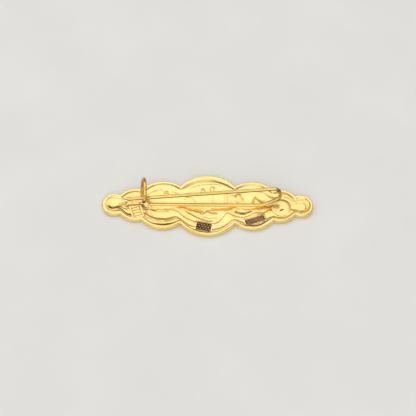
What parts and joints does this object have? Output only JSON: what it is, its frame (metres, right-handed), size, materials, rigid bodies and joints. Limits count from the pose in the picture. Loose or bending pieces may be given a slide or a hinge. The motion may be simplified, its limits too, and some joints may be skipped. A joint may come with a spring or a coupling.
{
  "type": "pilot wings pin",
  "caption": "Struck gold plated bar brooch with a scalloped outline, a sprung wire pin and an open ring catch on its hollow back.",
  "frame": {"origin": "centre of the plate's outline, on the plane of the front border it lies on", "axes": "+X along the bar from the pin's point towards its spring bend, +Y across the bar towards the side the pin stem leans to, +Z out of the back"},
  "size_m": [0.06, 0.0198, 0.0087],
  "materials": {
    "gold_plate": "struck and polished, gold plated",
    "gold_wire": "drawn, bright, gold plated",
    "gold_solder": "flowed and plated over",
    "dark_fill": "dull dark fill in a stamped mark"
  },
  "bodies": {
    "plate": {"badge_shell": "gold_plate", "fixed_wire": "gold_wire", "catch_hook": "gold_wire", "solder_catch": "gold_solder", "solder_left": "gold_solder", "solder_middle": "gold_solder", "solder_right": "gold_solder", "rect_tag": "gold_plate", "round_tag": "gold_plate", "mark_middle": "dark_fill", "mark_right": "dark_fill"},
    "pin": {"pin_stem": "gold_wire"}
  },
  "joints": [
    {"name": "pin_swing", "type": "hinge", "parent": "plate", "child": "pin", "pos_m": [0.0205, 0.00191, 0.00409], "axis": [-0.073, 0, 0.9973], "range_deg": [-1.5, 20], "stiffness_Nm_per_rad": 0.05}
  ]
}
